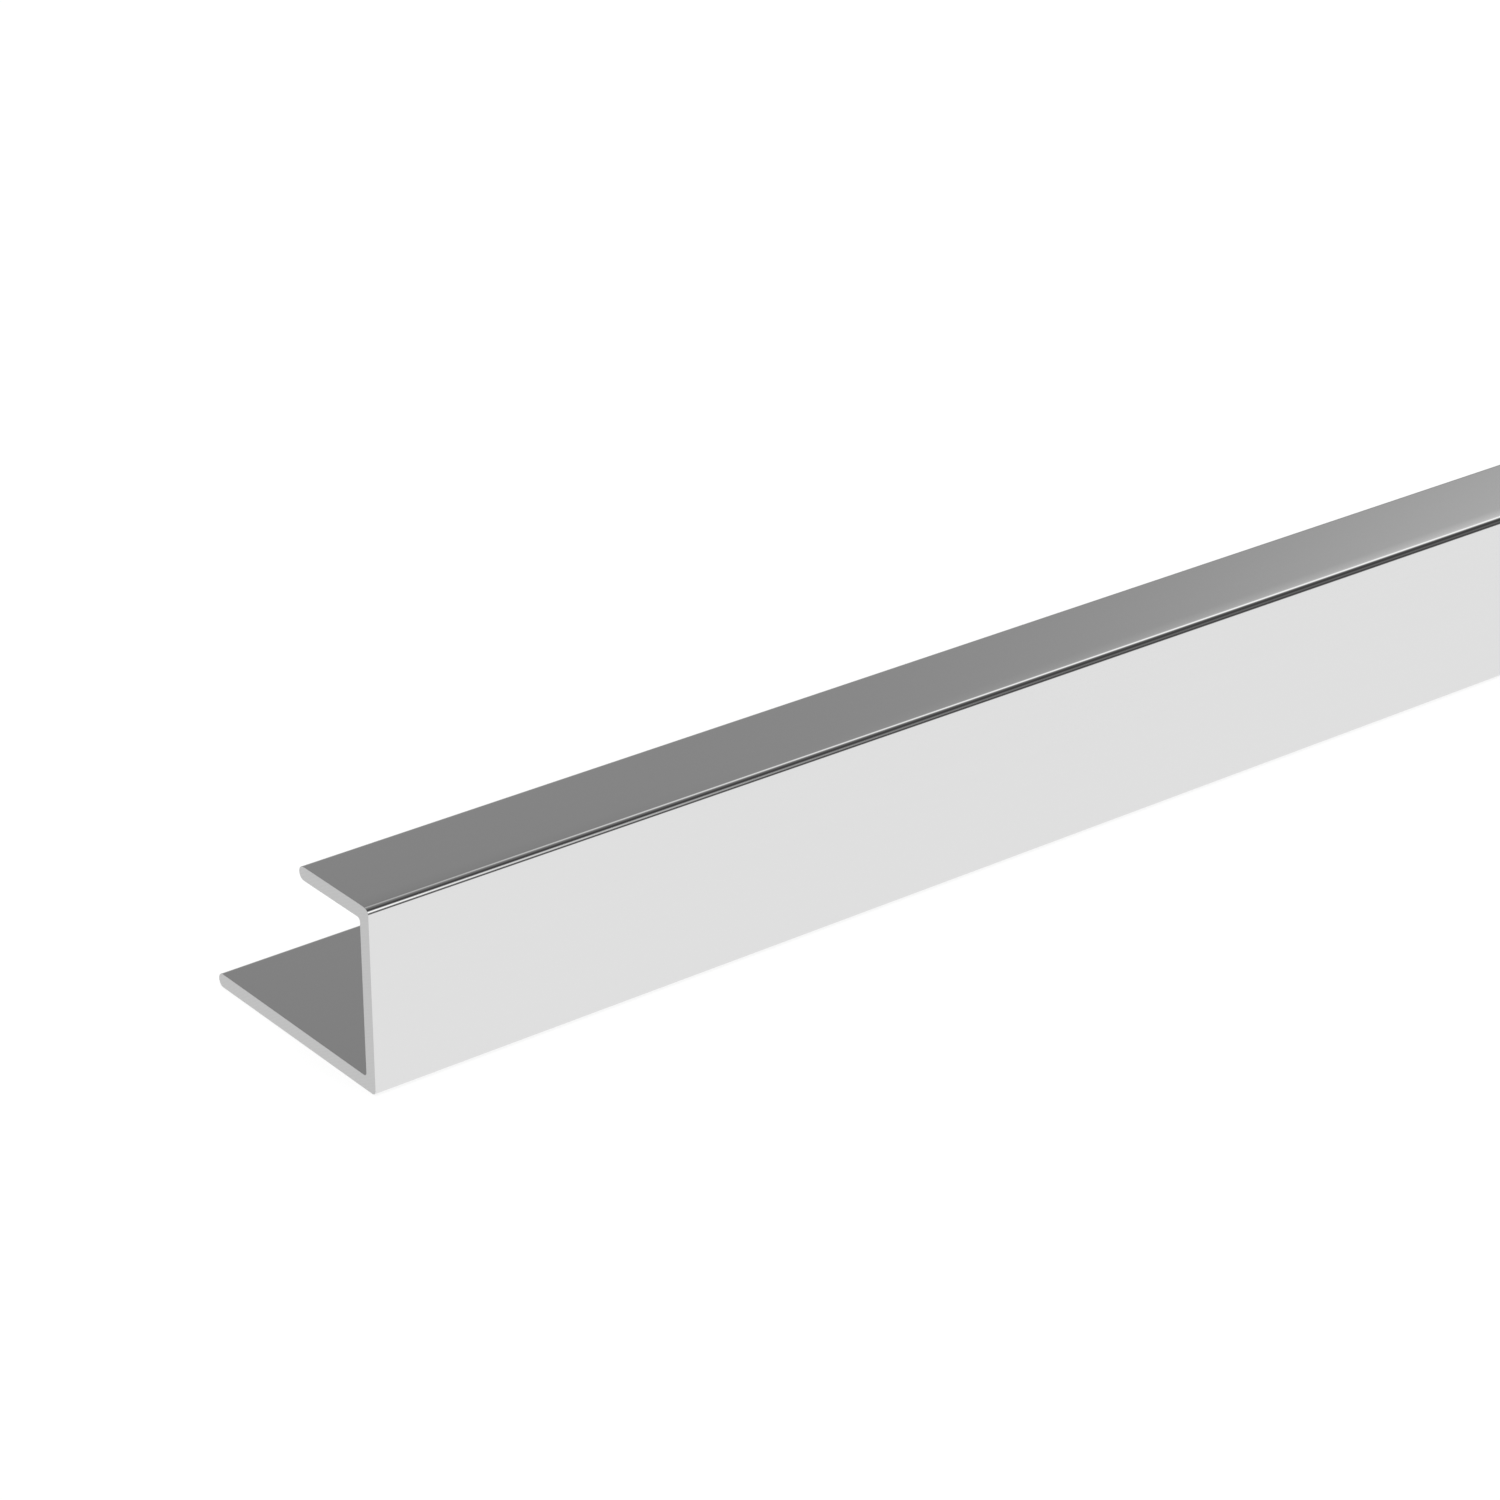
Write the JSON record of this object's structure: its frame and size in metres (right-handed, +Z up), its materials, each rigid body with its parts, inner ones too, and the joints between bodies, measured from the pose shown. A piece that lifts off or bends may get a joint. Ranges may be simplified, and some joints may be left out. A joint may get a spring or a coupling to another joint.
{
  "type": "wall panel trim",
  "caption": "Straight extruded aluminium edge trim of J section for a wall panel: long flange, web and short overlapping flange with round lips.",
  "frame": {"origin": "centre of the footprint, on the plane the long flange lies on", "axes": "+X along the length, +Y from the web towards the free lips of both flanges, +Z up from the long flange to the short flange"},
  "size_m": [0.6, 0.0184, 0.0132],
  "materials": {
    "polished_aluminium": "polished"
  },
  "bodies": {
    "root": {"panel_trim": "polished_aluminium"}
  },
  "joints": []
}
